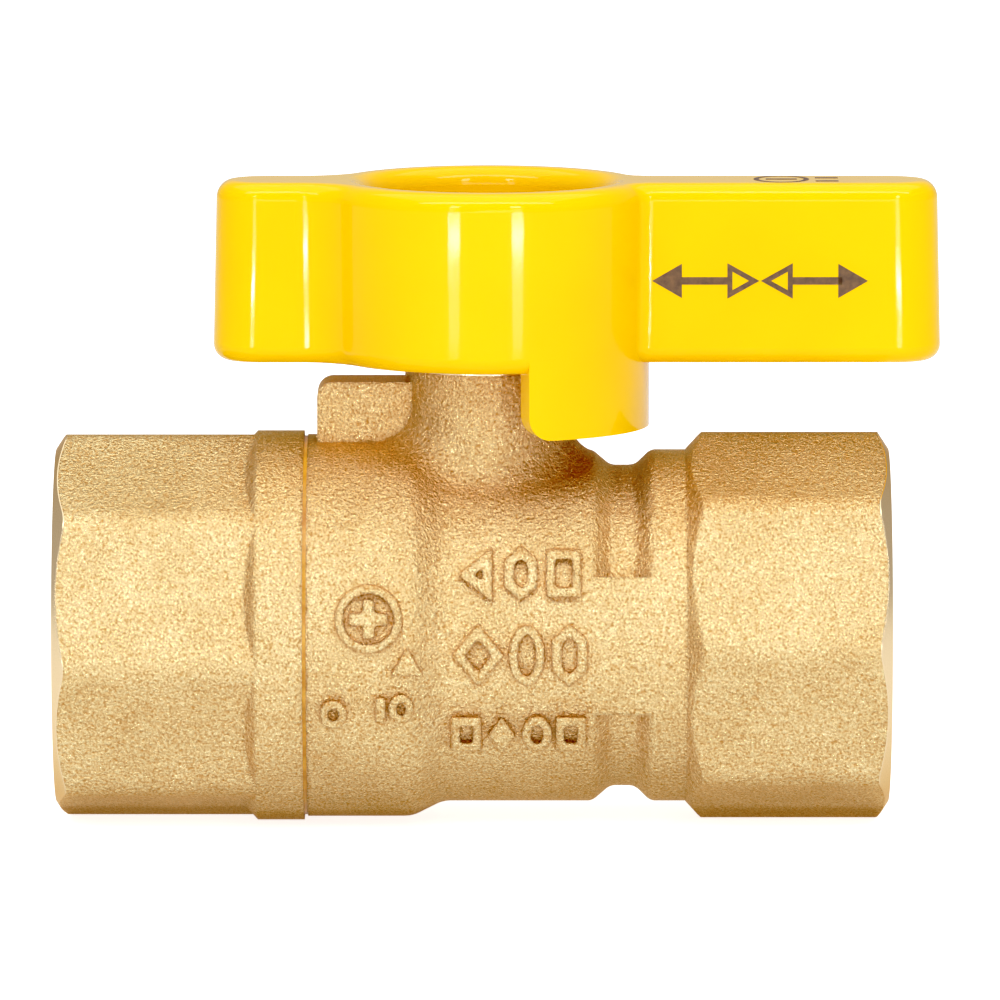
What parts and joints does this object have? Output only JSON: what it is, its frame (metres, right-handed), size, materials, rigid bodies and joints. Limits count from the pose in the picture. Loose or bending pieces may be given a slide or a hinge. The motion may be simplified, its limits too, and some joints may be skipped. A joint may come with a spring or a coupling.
{
  "type": "gas valve",
  "caption": "Brass quarter-turn gas ball valve with octagonal threaded pipe ends and a yellow cast T-shaped lever on top.",
  "frame": {"origin": "centre of the end cap's pipe mouth, in the plane of its face", "axes": "+X along the run, through the valve and out of the body's pipe mouth; +Z along the stem, up to the lever; +Y to the back, on the side of the second stop lug"},
  "size_m": [0.0605, 0.0266, 0.044],
  "materials": {
    "forged_brass": "sand-blasted forging",
    "turned_brass": "machined",
    "chromed_brass": "hard chromed and polished",
    "thread_sealant": "cured sealant, satin",
    "ptfe": "satin",
    "nitrile_rubber": "matt",
    "yellow_coating": "thick glossy coating on a die casting",
    "zinc_plated_steel": "bright zinc plate"
  },
  "bodies": {
    "valve_body": {"body": "forged_brass", "end_cap": "forged_brass", "joint_sealant": "thread_sealant", "seat_body_side": "ptfe", "seat_cap_side": "ptfe"},
    "handle_and_stem": {"stem": "turned_brass", "stem_thrust_washer": "ptfe", "stem_o_ring_lower": "nitrile_rubber", "stem_o_ring_upper": "nitrile_rubber", "handle": "yellow_coating", "flat_washer": "zinc_plated_steel", "spring_washer": "zinc_plated_steel", "handle_nut": "zinc_plated_steel"},
    "ball": {"ball": "chromed_brass"}
  },
  "joints": [
    {"name": "handle_turn", "type": "hinge", "parent": "valve_body", "child": "handle_and_stem", "pos_m": [0.0295, 0, 0], "axis": [0, 0, -1], "range_deg": [0, 90]},
    {"name": "ball_turn", "type": "hinge", "parent": "valve_body", "child": "ball", "pos_m": [0.0295, 0, 0], "axis": [0, 0, -1], "range_deg": [0, 90]}
  ],
  "couplings": [
    {"joint": "ball_turn", "follows": "handle_turn", "ratio": 1}
  ]
}
